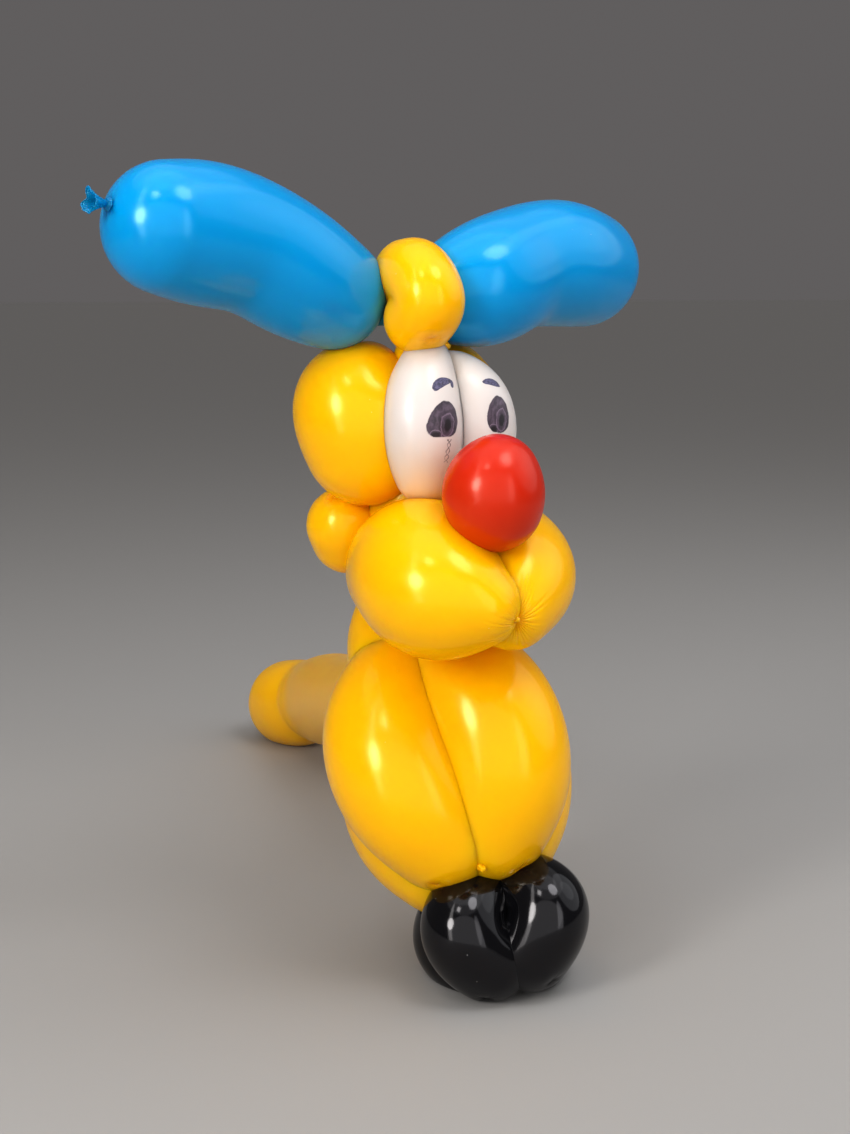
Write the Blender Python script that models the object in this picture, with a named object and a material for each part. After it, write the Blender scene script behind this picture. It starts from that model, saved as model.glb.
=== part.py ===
"""A dog twisted from modelling balloons, sitting up with its ears out and its tail on the floor.

Six balloons make the dog, and each is one object: the blue ears, the yellow head, the white eyes, the red
nose, the yellow body with its tail, and the black feet. A balloon is a row of bubbles with a twist between
each pair. A bubble is a run of spheres along a bowed centre line, pressed flat where it meets the bubbles of
another balloon and where it rests on the floor.

The dog faces -Y with +Z up, and +X is its own left. Sizes below are millimetres.
"""

from __future__ import annotations

import math
from collections.abc import Callable, Iterable, Sequence
from dataclasses import dataclass, field

import bmesh
import bpy
import numpy as np

MM = 0.001

# Driving sizes, in millimetres. A station is (x, y, z, radius) of one sphere on a bubble's centre line.
FLOOR = -1.2
CONTACT_GAP = 0.5  # between the solids of two balloons that press on each other
CONTACT_ROUND = 3.0  # how wide the edge of a pressed face is rounded
SOLE_ROUND = 0.5  # the same round a face that rests on the floor
KNOT_RADIUS = 3.4
NOZZLE_RADIUS = 5.2
WELD = 0.01  # points of a union that lie closer than this become one
FACET = 10.3  # side of a facet on the skin, roughly
FINE_FACET = 6.2  # the same where balloons are pressed together tightly
FEWEST_SEGMENTS = 12
DEEP = 0.35  # how far inside a bubble its facets are measured from, as a share of its radius

Station = tuple[float, float, float, float]
Point = tuple[float, float, float]

EAR_RIGHT: tuple[Station, ...] = (
    (-57.5, 40.5, 298.5, 23.5), (-72.2, 38.1, 305.8, 26.4), (-95.5, 35.7, 317.4, 27.5),
    (-115.3, 32.8, 321.8, 28.4), (-130.6, 28.0, 323.6, 26.1),
)
EAR_LEFT: tuple[Station, ...] = (
    (-3.1, 28.5, 299.5, 23.0), (5.2, 29.0, 301.5, 25.8), (26.6, 36.1, 308.6, 26.6),
    (52.6, 43.8, 311.4, 27.8), (69.2, 51.6, 309.6, 26.4),
)
EAR_TWIST: tuple[Station, ...] = (
    (-38.0, 38.5, 290.5, 6.0), (-26.0, 36.0, 290.0, 4.5), (-14.0, 31.5, 292.0, 6.0),
)
TOPKNOT: tuple[Station, ...] = (
    (-26.2, 29.9, 305.8, 15.7), (-27.4, 16.1, 304.1, 14.7),
    (-26.5, 10.2, 295.9, 14.7), (-26.8, 19.1, 288.2, 15.0),
)
HEAD_RIGHT: tuple[Station, ...] = (
    (-48.3, 44.6, 256.4, 21.9), (-43.2, 42.2, 246.0, 28.9), (-41.2, 41.3, 235.7, 27.5),
)
HEAD_LEFT: tuple[Station, ...] = (
    (-2.3, 51.8, 253.5, 25.5), (0.6, 51.6, 245.2, 27.5), (-1.7, 51.6, 234.0, 26.0),
)
EYE_RIGHT: tuple[Station, ...] = (
    (-25.6, 19.6, 268.6, 12.3), (-28.6, 14.5, 255.6, 16.6),
    (-28.9, 12.4, 240.0, 18.1), (-29.0, 14.6, 226.9, 15.7),
)
EYE_LEFT: tuple[Station, ...] = (
    (-9.5, 22.1, 263.5, 11.4), (-4.0, 17.3, 250.5, 17.4),
    (-3.2, 15.8, 237.9, 18.1), (-5.2, 14.6, 226.6, 15.7),
)
NOSE: tuple[Station, ...] = (
    (-14.3, -26.4, 214.9, 18.0), (-14.8, -26.1, 218.0, 20.2), (-13.5, -26.8, 225.3, 16.8),
)
MUZZLE_RIGHT: tuple[Station, ...] = (
    (-23.5, -29.9, 175.4, 17.3), (-33.2, -12.1, 179.8, 29.0),
    (-31.5, 6.0, 184.0, 31.0), (-28.8, 24.5, 181.3, 27.7),
)
MUZZLE_LEFT: tuple[Station, ...] = (
    (-5.5, -24.3, 172.2, 17.8), (2.9, -11.3, 179.8, 24.6), (8.7, 7.0, 181.9, 28.2), (15.4, 21.5, 183.3, 26.3),
)
JAW_RIGHT: tuple[Station, ...] = ((-45.8, 56.7, 197.8, 16.9), (-43.2, 58.8, 192.5, 16.6))
JAW_LEFT: tuple[Station, ...] = ((-12.0, 65.5, 195.5, 16.8), (-8.0, 65.0, 193.5, 16.8))
CROWN: tuple[Station, ...] = ((-26.0, 25.0, 286.0, 5.0), (-20.0, 37.0, 264.0, 12.0))
HEAD_MIDDLE: tuple[Station, ...] = ((-20.0, 40.0, 204.0, 20.0), (-20.0, 42.0, 250.0, 16.0))
NECK: tuple[Station, ...] = (
    (-16.7, 57.5, 136.5, 26.0), (-15.2, 62.2, 141.0, 25.5), (-13.5, 65.6, 156.6, 20.3),
)
TAIL: tuple[Station, ...] = (
    (13.0, 82.0, 111.0, 25.0), (27.5, 173.0, 84.0, 25.6),
    (43.5, 272.0, 58.0, 26.6), (57.5, 350.0, 38.5, 27.8),
    (57.8, 371.0, 33.2, 26.2),
)
TAIL_END: tuple[Station, ...] = (
    (57.8, 371.0, 33.2, 26.2), (56.0, 386.0, 28.0, 28.6), (54.5, 402.5, 24.0, 29.0),
)
NOZZLE_ROOT: Point = (-151.5, 23.6, 331.2)  # on the right ear's round end
NOZZLE_TIP: Point = (-165.8, 17.7, 333.5)


@dataclass(frozen=True)
class Bubble:
    """One inflated length of a balloon.

    Args:
        name: what it is, for messages.
        stations: spheres on the centre line, from twist to twist.
        facet: side of a facet on the skin, roughly.
        samples: points the centre line is worked out at.
    """

    name: str
    stations: Sequence[Station]
    facet: float = FACET
    samples: int = 33
    line: np.ndarray = field(init=False, repr=False)

    def __post_init__(self) -> None:
        object.__setattr__(self, "line", smooth_line(np.array(self.stations, float), self.samples))

    @property
    def centres(self) -> np.ndarray:
        """Centres of the spheres along the line."""
        return self.line[:, :3]

    @property
    def radii(self) -> np.ndarray:
        """Radii of the same spheres."""
        return self.line[:, 3]

    def distance(self, points: np.ndarray) -> np.ndarray:
        """Distance of each point from the skin, negative inside."""
        away = np.linalg.norm(points[:, None, :] - self.centres[None], axis=2) - self.radii
        return away.min(axis=1)

    def near(self, other: Bubble, reach: float) -> bool:
        """Whether the two skins come within the given distance."""
        return bool((self.distance(other.centres) - other.radii).min() < reach)


@dataclass(frozen=True)
class Bundle:
    """Bubbles side by side round an axis, sharing the twist at each end.

    Args:
        base: the lower twist, where the axis starts.
        axis: direction up the bundle, any length.
        length: from the first to the last station of a bubble.
        radius: of a bubble at its lower end, middle and upper end.
        half_width: sideways distance of a bubble's middle from the axis.
        half_depth: distance of its middle in front of or behind the axis.
        turn: turn of the bundle about its axis, in degrees.
        spiral: further turn from the lower end to the upper one.
        rear_shift: how far the rear pair lies to the dog's left, as a share of half_depth.
        rear_drop: how far the rear pair lies below the front one, along the axis.
        rear_spread: how much wider apart the rear pair lies than the front one, as a factor.
        facet: side of a facet on the skin, roughly.
    """

    base: Point
    axis: Point
    length: float
    radius: tuple[float, float, float]
    half_width: float
    half_depth: float
    turn: float
    spiral: float
    rear_shift: float
    rear_drop: float
    rear_spread: float
    facet: float = FACET

    def bubbles(self, name: str) -> list[Bubble]:
        """The two front and two rear bubbles, and the plug that fills the gap between the four."""
        up = np.array(self.axis, float)
        up /= np.linalg.norm(up)
        side = np.array([up[2], 0.0, -up[0]])
        side /= np.linalg.norm(side)
        back = np.cross(up, side)
        base = np.array(self.base)
        shares = np.linspace(0.0, 1.0, 5)
        radii = np.interp(shares, (0.0, 0.5, 1.0), self.radius)
        radii[1::2] = radii[1::2] * 0.4 + self.radius[1] * 0.6
        made = []
        for front in (-1.0, 1.0):
            for left in (-1.0, 1.0):
                stations = []
                for share, radius in zip(shares, radii, strict=True):
                    angle = math.radians(self.turn + self.spiral * (share - 0.5))
                    across = math.cos(angle) * side + math.sin(angle) * back
                    behind = math.cos(angle) * back - math.sin(angle) * side + self.rear_shift * across
                    bow = math.sin(math.pi * (0.12 + 0.76 * share)) ** 0.7
                    place = base + up * (self.length * share - (self.rear_drop if front > 0 else 0.0))
                    apart = left * self.half_width * (self.rear_spread if front > 0 else 1.0)
                    place += bow * (apart * across + front * self.half_depth * behind)
                    stations.append((*place, radius))
                which = f"{name} {'rear' if front > 0 else 'front'} {'left' if left > 0 else 'right'}"
                made.append(Bubble(which, stations, self.facet))
        plug = self.radius[1] * 0.58
        foot, head = base + up * (0.1 * self.length), base + up * (0.9 * self.length)
        made.append(Bubble(f"{name} plug", ((*foot, plug), (*head, plug))))
        return made


BODY = Bundle(
    base=(-7.3, 14.1, 65.3), axis=(0.003, 0.47, 0.85), length=68.2, radius=(25.7, 30.7, 25.8),
    half_width=22.4, half_depth=19.3, turn=-27.0, spiral=-15.4,
    rear_shift=0.0, rear_drop=8.5, rear_spread=1.0,
)
FEET = Bundle(
    base=(2.8, -8.6, 14.8), axis=(-0.018, 0.538, 0.85), length=24.9, radius=(19.4, 18.8, 16.4),
    half_width=18.2, half_depth=14.7, turn=-16.3, spiral=8.6, rear_shift=0.0, rear_drop=0.0, rear_spread=1.05,
    facet=6.3,
)


@dataclass(frozen=True)
class Balloon:
    """One balloon of the dog, which becomes one object.

    Args:
        name: the object's name.
        colour: linear red, green and blue of the rubber.
        bubbles: its bubbles.
        nozzle: root and tip of its knot and mouth, or nothing where they are tucked away.
        dented_by: names of the small bubbles of another balloon that press deep into this one.
    """

    name: str
    colour: tuple[float, float, float]
    bubbles: Sequence[Bubble]
    nozzle: tuple[Point, Point] | None = None
    dented_by: Sequence[str] = ()


def smooth_line(stations: np.ndarray, samples: int) -> np.ndarray:
    """A natural cubic curve through the stations.

    Args:
        stations: one row of x, y, z and radius for each station.
        samples: rows to return.

    Returns:
        The curve's rows, evenly spaced by chord length.
    """
    chords = np.linalg.norm(np.diff(stations[:, :3], axis=0), axis=1)
    at = np.concatenate([[0.0], np.cumsum(chords)]) / chords.sum()
    wanted = np.linspace(0.0, 1.0, samples)
    if len(stations) == 2:
        return stations[0] + (stations[1] - stations[0]) * wanted[:, None]
    step = np.diff(at)
    count = len(at)
    system, right = np.eye(count), np.zeros_like(stations)
    for i in range(1, count - 1):
        system[i, i - 1 : i + 2] = step[i - 1], 2.0 * (step[i - 1] + step[i]), step[i]
        slopes = np.diff(stations[i - 1 : i + 2], axis=0) / step[i - 1 : i + 1, None]
        right[i] = 6.0 * (slopes[1] - slopes[0])
    bend = np.linalg.solve(system, right)
    span = np.clip(np.searchsorted(at, wanted) - 1, 0, count - 2)
    width = step[span][:, None]
    before, after = (at[span + 1] - wanted)[:, None], (wanted - at[span])[:, None]
    return (
        (bend[span] * before**3 + bend[span + 1] * after**3) / (6.0 * width)
        + (stations[span] / width - bend[span] * width / 6.0) * before
        + (stations[span + 1] / width - bend[span + 1] * width / 6.0) * after
    )


def round_max(first: np.ndarray, second: np.ndarray, width: float) -> np.ndarray:
    """The greater of two distances, with the corner between them rounded."""
    overlap = np.maximum(width - np.abs(first - second), 0.0)
    return np.maximum(first, second) + overlap**2 / (4.0 * width)


def rays(start: np.ndarray, end: np.ndarray, radius: float, facet: float) -> tuple[np.ndarray, np.ndarray]:
    """Starts and directions that sweep over a bubble, in rings from one end to the other.

    The rays leave a straight line, so they never cross.

    Args:
        start: one end of the line.
        end: the other end.
        radius: of the bubble, which sets the number of facets.
        facet: side of a facet on the skin, roughly.

    Returns:
        Arrays of shape (rings, segments, 3); the first and last ring are the poles.
    """
    chord = end - start
    length = float(np.linalg.norm(chord))
    along = chord / length
    segments = max(FEWEST_SEGMENTS, 2 * round(math.pi * radius / facet))
    cap = max(3, round(0.5 * math.pi * radius / facet))
    between = max(1, round(length / (1.6 * facet)))
    across = np.cross(along, (0.0, 0.0, 1.0) if abs(along[2]) < 0.9 else (0.0, 1.0, 0.0))
    across /= np.linalg.norm(across)
    third = np.cross(along, across)
    turn = np.linspace(0.0, 2.0 * math.pi, segments, endpoint=False)
    circle = np.cos(turn)[:, None] * across + np.sin(turn)[:, None] * third
    lean = np.linspace(0.0, 0.5 * math.pi, cap + 1)
    steps = [(0.0, angle - 0.5 * math.pi) for angle in lean]
    steps += [(share, 0.0) for share in np.linspace(0.0, 1.0, between + 1)[1:-1]]
    steps += [(1.0, angle) for angle in lean]
    starts = [np.repeat((start + share * chord)[None], segments, axis=0) for share, _ in steps]
    directions = [math.cos(angle) * circle + math.sin(angle) * along for _, angle in steps]
    return np.array(starts), np.array(directions)


def skin(bubble: Bubble, rivals: Iterable[Bubble], growth: float = 0.0) -> np.ndarray:
    """Points of a bubble's skin where its rivals and the floor let it be.

    Args:
        bubble: the bubble.
        rivals: bubbles of other balloons, which share the contact face half and half.
        growth: how far outside that skin the points lie.

    Returns:
        Points of shape (rings, segments, 3), in millimetres.
    """
    widest = float(bubble.radii.max())
    close = [rival for rival in rivals if bubble.near(rival, CONTACT_ROUND + CONTACT_GAP)]

    def outside(points: np.ndarray) -> np.ndarray:
        own = bubble.distance(points)
        limit = own
        for rival in close:
            shared = 0.5 * (own - rival.distance(points)) + 0.5 * CONTACT_GAP
            limit = round_max(limit, shared, CONTACT_ROUND)
        return round_max(limit, FLOOR - points[:, 2], SOLE_ROUND)

    shares = np.linspace(-0.5, 0.5, 41)[:, None]
    middle_line = bubble.centres.mean(axis=0) + shares * (bubble.centres[-1] - bubble.centres[0])
    inner = middle_line[outside(middle_line) < -DEEP * widest]
    starts, directions = rays(inner[0], inner[-1], widest, bubble.facet)
    flat_starts, flat_directions = starts.reshape(-1, 3), directions.reshape(-1, 3)
    stops = np.linspace(0.0, 2.0 * widest, 33)
    gone = np.array([outside(flat_starts + flat_directions * stop) > 0.0 for stop in stops[1:]])
    first = gone.argmax(axis=0)
    near_end, far_end = stops[first], stops[first + 1]
    for _ in range(22):
        middle = 0.5 * (near_end + far_end)
        inside = outside(flat_starts + flat_directions * middle[:, None]) < 0.0
        near_end = np.where(inside, middle, near_end)
        far_end = np.where(inside, far_end, middle)
    points = flat_starts + flat_directions * (0.5 * (near_end + far_end) + growth)[:, None]
    return points.reshape(starts.shape)


def closed_mesh(name: str, rows: np.ndarray) -> bpy.types.Mesh:
    """A closed mesh from rings of points whose first and last rings are poles.

    Args:
        name: the mesh's name.
        rows: points of shape (rings, segments, 3), in millimetres.

    Returns:
        The mesh, in metres, with its faces pointing outwards.
    """
    rings, segments = rows.shape[:2]
    body = bmesh.new()
    first = body.verts.new(rows[0].mean(axis=0) * MM)
    last = body.verts.new(rows[-1].mean(axis=0) * MM)
    grid = [[body.verts.new(point * MM) for point in row] for row in rows[1:-1]]
    for j in range(segments):
        k = (j + 1) % segments
        body.faces.new((first, grid[0][k], grid[0][j]))
        body.faces.new((last, grid[-1][j], grid[-1][k]))
        for i in range(rings - 3):
            body.faces.new((grid[i][j], grid[i][k], grid[i + 1][k], grid[i + 1][j]))
    bmesh.ops.recalc_face_normals(body, faces=body.faces)
    if body.calc_volume(signed=True) < 0.0:
        bmesh.ops.reverse_faces(body, faces=body.faces)
    mesh = bpy.data.meshes.new(name)
    body.to_mesh(mesh)
    body.free()
    return mesh


def lathed(
    name: str, root: Point, tip: Point, profile: Callable[[float], float], rings: int
) -> bpy.types.Mesh:
    """A solid of revolution between two points, whose radius follows a profile.

    Args:
        name: the mesh's name.
        root: one end of the axis.
        tip: the other end.
        profile: radius in millimetres for a share of the length from 0 to 1.
        rings: rings between the ends.

    Returns:
        The closed mesh.
    """
    start, end = np.array(root), np.array(tip)
    _, directions = rays(start, end, 1.0, FACET)
    circle = directions[len(directions) // 2]
    rows = [start + 0.0 * circle]
    for share in np.linspace(0.0, 1.0, rings):
        rows.append(start + (end - start) * share + circle * profile(float(share)))
    rows.append(end + 0.0 * circle)
    return closed_mesh(name, np.array(rows))


def knot_profile(share: float) -> float:
    """Radius along a tied knot and the flared mouth beyond it."""
    if share < 0.45:
        return 1.8 + (KNOT_RADIUS - 1.8) * math.sin(math.pi * share / 0.45)
    flare = (share - 0.45) / 0.55
    return 1.8 + (NOZZLE_RADIUS - 1.8) * flare**1.4


def rubber(name: str, colour: tuple[float, float, float]) -> bpy.types.Material:
    """Glossy coloured latex."""
    made = bpy.data.materials.new(name)
    made.use_nodes = True
    shader = next(node for node in made.node_tree.nodes if node.type == "BSDF_PRINCIPLED")
    shader.inputs["Base Color"].default_value = (*colour, 1.0)
    shader.inputs["Roughness"].default_value = 0.16
    made.diffuse_color = (*colour, 1.0)
    return made


def build(balloon: Balloon, rivals: Sequence[Bubble]) -> bpy.types.Object:
    """Makes a balloon's object, as the union of its bubbles and knot.

    Args:
        balloon: what to build.
        rivals: the bubbles of every other balloon.

    Returns:
        The object, in the scene.
    """
    meshes = []
    for bubble in balloon.bubbles:
        meshes.append(closed_mesh(bubble.name, skin(bubble, rivals)))
    if balloon.nozzle:
        meshes.append(lathed("nozzle", *balloon.nozzle, knot_profile, 9))
    material = rubber(f"{balloon.name}_latex", balloon.colour)
    whole = bpy.data.objects.new(balloon.name, meshes[0])
    whole.data.materials.append(material)
    bpy.context.scene.collection.objects.link(whole)
    for mesh in meshes[1:]:
        combine(whole, mesh, "UNION")
    for rival in rivals:
        if rival.name in balloon.dented_by:
            cutter = skin(rival, balloon.bubbles, 1.6 * CONTACT_GAP)
            combine(whole, closed_mesh(rival.name, cutter), "DIFFERENCE")
    bake(whole)
    return whole


def combine(whole: bpy.types.Object, mesh: bpy.types.Mesh, operation: str) -> None:
    """Adds a mesh to an object or takes it away, as a Boolean modifier."""
    other = bpy.data.objects.new(f"{whole.name}_{mesh.name}", mesh)
    bpy.context.scene.collection.objects.link(other)
    other.hide_render = True
    other.display_type = "WIRE"
    step = whole.modifiers.new(mesh.name, "BOOLEAN")
    step.operation, step.solver, step.object = operation, "EXACT", other


def bake(whole: bpy.types.Object) -> None:
    """Applies an object's modifiers and drops the shapes they used."""
    used = [modifier.object for modifier in whole.modifiers]
    graph = bpy.context.evaluated_depsgraph_get()
    solid = bpy.data.meshes.new_from_object(whole.evaluated_get(graph))
    whole.modifiers.clear()
    whole.data = solid
    for other in used:
        bpy.data.objects.remove(other)
    tidy = bmesh.new()
    tidy.from_mesh(solid)
    bmesh.ops.triangulate(tidy, faces=tidy.faces)
    bmesh.ops.remove_doubles(tidy, verts=tidy.verts, dist=WELD * MM)
    bmesh.ops.dissolve_degenerate(tidy, edges=tidy.edges, dist=WELD * MM)
    tidy.to_mesh(solid)
    tidy.free()
    for polygon in solid.polygons:
        polygon.use_smooth = True


def balloons() -> list[Balloon]:
    """The six balloons, from the ears down."""
    return [
        Balloon(
            "ears_balloon", (0.0, 0.24, 0.62), [
                Bubble("ear right", EAR_RIGHT), Bubble("ear twist", EAR_TWIST), Bubble("ear left", EAR_LEFT),
            ],
            nozzle=(NOZZLE_ROOT, NOZZLE_TIP), dented_by=("topknot", "crown"),
        ),
        Balloon(
            "head_balloon", (1.0, 0.52, 0.0),
            [
                Bubble("head middle", HEAD_MIDDLE), Bubble("head right", HEAD_RIGHT),
                Bubble("head left", HEAD_LEFT),
                Bubble("muzzle right", MUZZLE_RIGHT), Bubble("muzzle left", MUZZLE_LEFT),
                Bubble("jaw right", JAW_RIGHT), Bubble("jaw left", JAW_LEFT),
                Bubble("crown", CROWN, FINE_FACET),
                Bubble("topknot", TOPKNOT, FINE_FACET),
            ],
        ),
        Balloon(
            "eyes_balloon", (0.86, 0.84, 0.80),
            [Bubble("eye right", EYE_RIGHT), Bubble("eye left", EYE_LEFT)],
            dented_by=("crown", "topknot"),
        ),
        Balloon("nose_balloon", (0.70, 0.012, 0.008), [Bubble("nose", NOSE)]),
        Balloon(
            "body_balloon", (1.0, 0.52, 0.0),
            [
                *BODY.bubbles("body"), Bubble("neck", NECK),
                Bubble("tail", TAIL), Bubble("tail end", TAIL_END, FINE_FACET),
            ],
        ),
        Balloon("feet_balloon", (0.006, 0.006, 0.007), FEET.bubbles("foot")),
    ]


def centre_on_floor(objects: Sequence[bpy.types.Object]) -> None:
    """Moves the meshes so that the whole dog's box is centred on the origin and stands on the floor."""
    corners = np.array([vertex.co for one in objects for vertex in one.data.vertices])
    low, high = corners.min(axis=0), corners.max(axis=0)
    shift = np.array([-0.5 * (low[0] + high[0]), -0.5 * (low[1] + high[1]), -low[2]])
    for one in objects:
        for vertex in one.data.vertices:
            vertex.co = np.array(vertex.co) + shift
    print("shift to the origin, mm:", np.round(shift / MM, 3))


def main() -> None:
    """Clears the scene and builds the dog."""
    for old in list(bpy.data.objects):
        bpy.data.objects.remove(old)
    every = balloons()
    made = []
    for balloon in every:
        rivals = [bubble for other in every if other is not balloon for bubble in other.bubbles]
        made.append(build(balloon, rivals))
    centre_on_floor(made)


if __name__ == "__main__":
    main()
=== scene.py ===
"""The looks of a dog twisted from modelling balloons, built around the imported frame.

Each balloon of the frame is remade as a fine skin. A balloon is a row of bubbles with a twist between each
pair. A bubble is inflated along a bowed centre line, pressed flat where it meets any other bubble, and
gathered into small puckers at its twists. Knots, ink and the studio are added last.

The centre lines below are millimetres from the dog's own datum, with +Z up and the dog facing -Y. Its own
left is +X. Where that datum lies in the frame is read from the frame's boxes.
"""

from __future__ import annotations

import logging
import math
from collections.abc import Callable, Sequence
from dataclasses import dataclass, field
from enum import Enum
from functools import cached_property

import bpy
import numpy as np
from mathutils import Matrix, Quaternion, Vector

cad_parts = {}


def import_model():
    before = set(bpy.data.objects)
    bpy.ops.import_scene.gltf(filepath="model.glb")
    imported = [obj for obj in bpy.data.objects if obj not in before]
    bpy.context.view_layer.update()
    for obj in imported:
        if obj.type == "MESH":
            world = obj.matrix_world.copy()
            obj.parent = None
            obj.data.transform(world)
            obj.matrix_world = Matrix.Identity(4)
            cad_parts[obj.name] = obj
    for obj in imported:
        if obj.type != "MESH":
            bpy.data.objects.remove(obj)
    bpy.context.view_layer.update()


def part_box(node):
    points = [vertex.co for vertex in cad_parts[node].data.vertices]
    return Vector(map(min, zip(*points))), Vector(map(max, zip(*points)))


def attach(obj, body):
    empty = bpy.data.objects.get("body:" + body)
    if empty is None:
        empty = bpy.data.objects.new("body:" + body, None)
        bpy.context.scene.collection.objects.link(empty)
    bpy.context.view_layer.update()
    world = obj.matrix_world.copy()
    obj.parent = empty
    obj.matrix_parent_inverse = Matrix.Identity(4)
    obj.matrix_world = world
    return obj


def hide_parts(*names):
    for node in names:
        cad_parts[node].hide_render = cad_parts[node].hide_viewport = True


log = logging.getLogger("balloon_dog")

MM = 0.001
FLOOR = -1.2  # height of the floor above the datum
LAP = 0.7  # how far two skins that press on each other overlap, so that no slit shows between them
SOLE_ROUND = 1.2  # width of the rounding where a skin meets the floor
PAINTED_BOUNCE_REACH = 20.0  # how far the painted bounce light of a balloon below reaches up into a skin
DEEP = 0.33  # how far inside a bubble its skin is measured from, as a share of its radius
LINE_STEP = 2.2  # between the points at which a centre line is worked out
FEWEST_POINTS = 13  # on a centre line
TURN = 2.0 * math.pi

Station = tuple[float, float, float, float]  # x, y, z and radius
Line = tuple[Station, ...]
Point = tuple[float, float, float]
Colour = tuple[float, float, float]


class Rubber(Enum):
    """The record's material slots."""

    BLUE = "blue_latex"
    YELLOW = "yellow_latex"
    WHITE = "white_latex"
    RED = "red_latex"
    BLACK = "black_latex"


class Facet(Enum):
    """Side of a facet on a skin, in millimetres."""

    PLAIN = 2.0
    SHOWN = 1.5
    GATHERED = 0.8

    @property
    def side(self) -> float:
        return self.value * 1.0


# ---- Skins ----


def smooth_line(stations: np.ndarray, samples: int) -> np.ndarray:
    """A natural cubic curve through the stations.

    Args:
        stations: one row of x, y, z and radius for each station.
        samples: rows to return.

    Returns:
        The curve's rows, evenly spaced by chord length.
    """
    chords = np.linalg.norm(np.diff(stations[:, :3], axis=0), axis=1)
    at = np.concatenate([[0.0], np.cumsum(chords)]) / chords.sum()
    wanted = np.linspace(0.0, 1.0, samples)
    step = np.diff(at)
    count = len(at)
    system, right = np.eye(count), np.zeros_like(stations)
    for i in range(1, count - 1):
        system[i, i - 1 : i + 2] = step[i - 1], 2.0 * (step[i - 1] + step[i]), step[i]
        slopes = np.diff(stations[i - 1 : i + 2], axis=0) / step[i - 1 : i + 1, None]
        right[i] = 6.0 * (slopes[1] - slopes[0])
    bend = np.linalg.solve(system, right)
    span = np.clip(np.searchsorted(at, wanted) - 1, 0, count - 2)
    width = step[span][:, None]
    before, after = (at[span + 1] - wanted)[:, None], (wanted - at[span])[:, None]
    return (
        (bend[span] * before**3 + bend[span + 1] * after**3) / (6.0 * width)
        + (stations[span] / width - bend[span] * width / 6.0) * before
        + (stations[span + 1] / width - bend[span + 1] * width / 6.0) * after
    )


def soft_max(first: np.ndarray, second: np.ndarray, width: float) -> np.ndarray:
    """The greater of two distances, with the corner between them rounded."""
    overlap = np.maximum(width - np.abs(first - second), 0.0)
    return np.maximum(first, second) + overlap**2 / (4.0 * width)


def unit(vector: np.ndarray) -> np.ndarray:
    """Vectors at length one."""
    return vector / np.maximum(np.linalg.norm(vector, axis=-1, keepdims=True), 1e-9)


@dataclass(frozen=True)
class Twist:
    """The pinched end of a bubble, where its rubber is gathered."""

    place: Point | None = None  # where the bubble is twisted off, or nothing for the middle of its round end
    pull: float = 0.9  # share of the way to that place that the nearest skin is drawn
    reach: float = 7.0  # how far from the twist the skin is drawn in
    puckers: int = 15  # number of small folds round it
    relief: float = 0.4  # depth of the deepest fold
    length: float = 9.0  # length of the longest fold
    depth: float = 2.2  # how far below the round end the twist lies, where its place isn't given
    seed: int = 1  # of the folds' uneven lengths

    JITTER = 0.35  # how unevenly the folds are spaced, as a share of the space between two
    WIDTHS = (0.22, 0.34)  # half width of a fold, as a share of that space
    LENGTHS = (0.45, 1.0)  # of the folds, as a share of the longest
    RELIEFS = (0.5, 1.0)  # of the folds, as a share of the deepest
    RISE = 0.18  # share of a fold's length in which it reaches its depth
    FADE = 1.3  # how soon it runs out again

    def folds(self, turns: np.ndarray, away: np.ndarray) -> np.ndarray:
        """Depth of the folds at each point of the skin.

        Args:
            turns: angles of its segments.
            away: distance of its points from the twist, of shape (rings, segments).

        Returns:
            The depths, of the same shape.
        """
        random = np.random.default_rng(self.seed)
        count, space = self.puckers, TURN / self.puckers
        spots = (np.arange(count) + random.uniform(-self.JITTER, self.JITTER, count)) * space
        widths = random.uniform(*self.WIDTHS, count) * space
        lengths = random.uniform(*self.LENGTHS, count) * self.length
        reliefs = random.uniform(*self.RELIEFS, count) * self.relief
        depths = np.zeros(away.shape)
        for spot, width, length, relief in zip(spots, widths, lengths, reliefs, strict=True):
            turn = (turns - spot + math.pi) % TURN - math.pi
            share = np.clip(away / length, 0.0, 1.0)
            shape = np.clip(share / self.RISE, 0.0, 1.0) * (1.0 - share) ** self.FADE
            depths += relief * np.exp(-((turn / width) ** 2))[None, :] * shape
        return depths


BLUNT = Twist(pull=0.0, relief=0.0)


class Part:
    """A part of a balloon: bubbles that are still to be inflated, or surfaces that are already shaped."""

    def bubbles(self) -> list[Bubble]:
        """Its bubbles."""
        return []

    def shells(self) -> list[Shell]:
        """Its shaped surfaces."""
        return []


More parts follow.
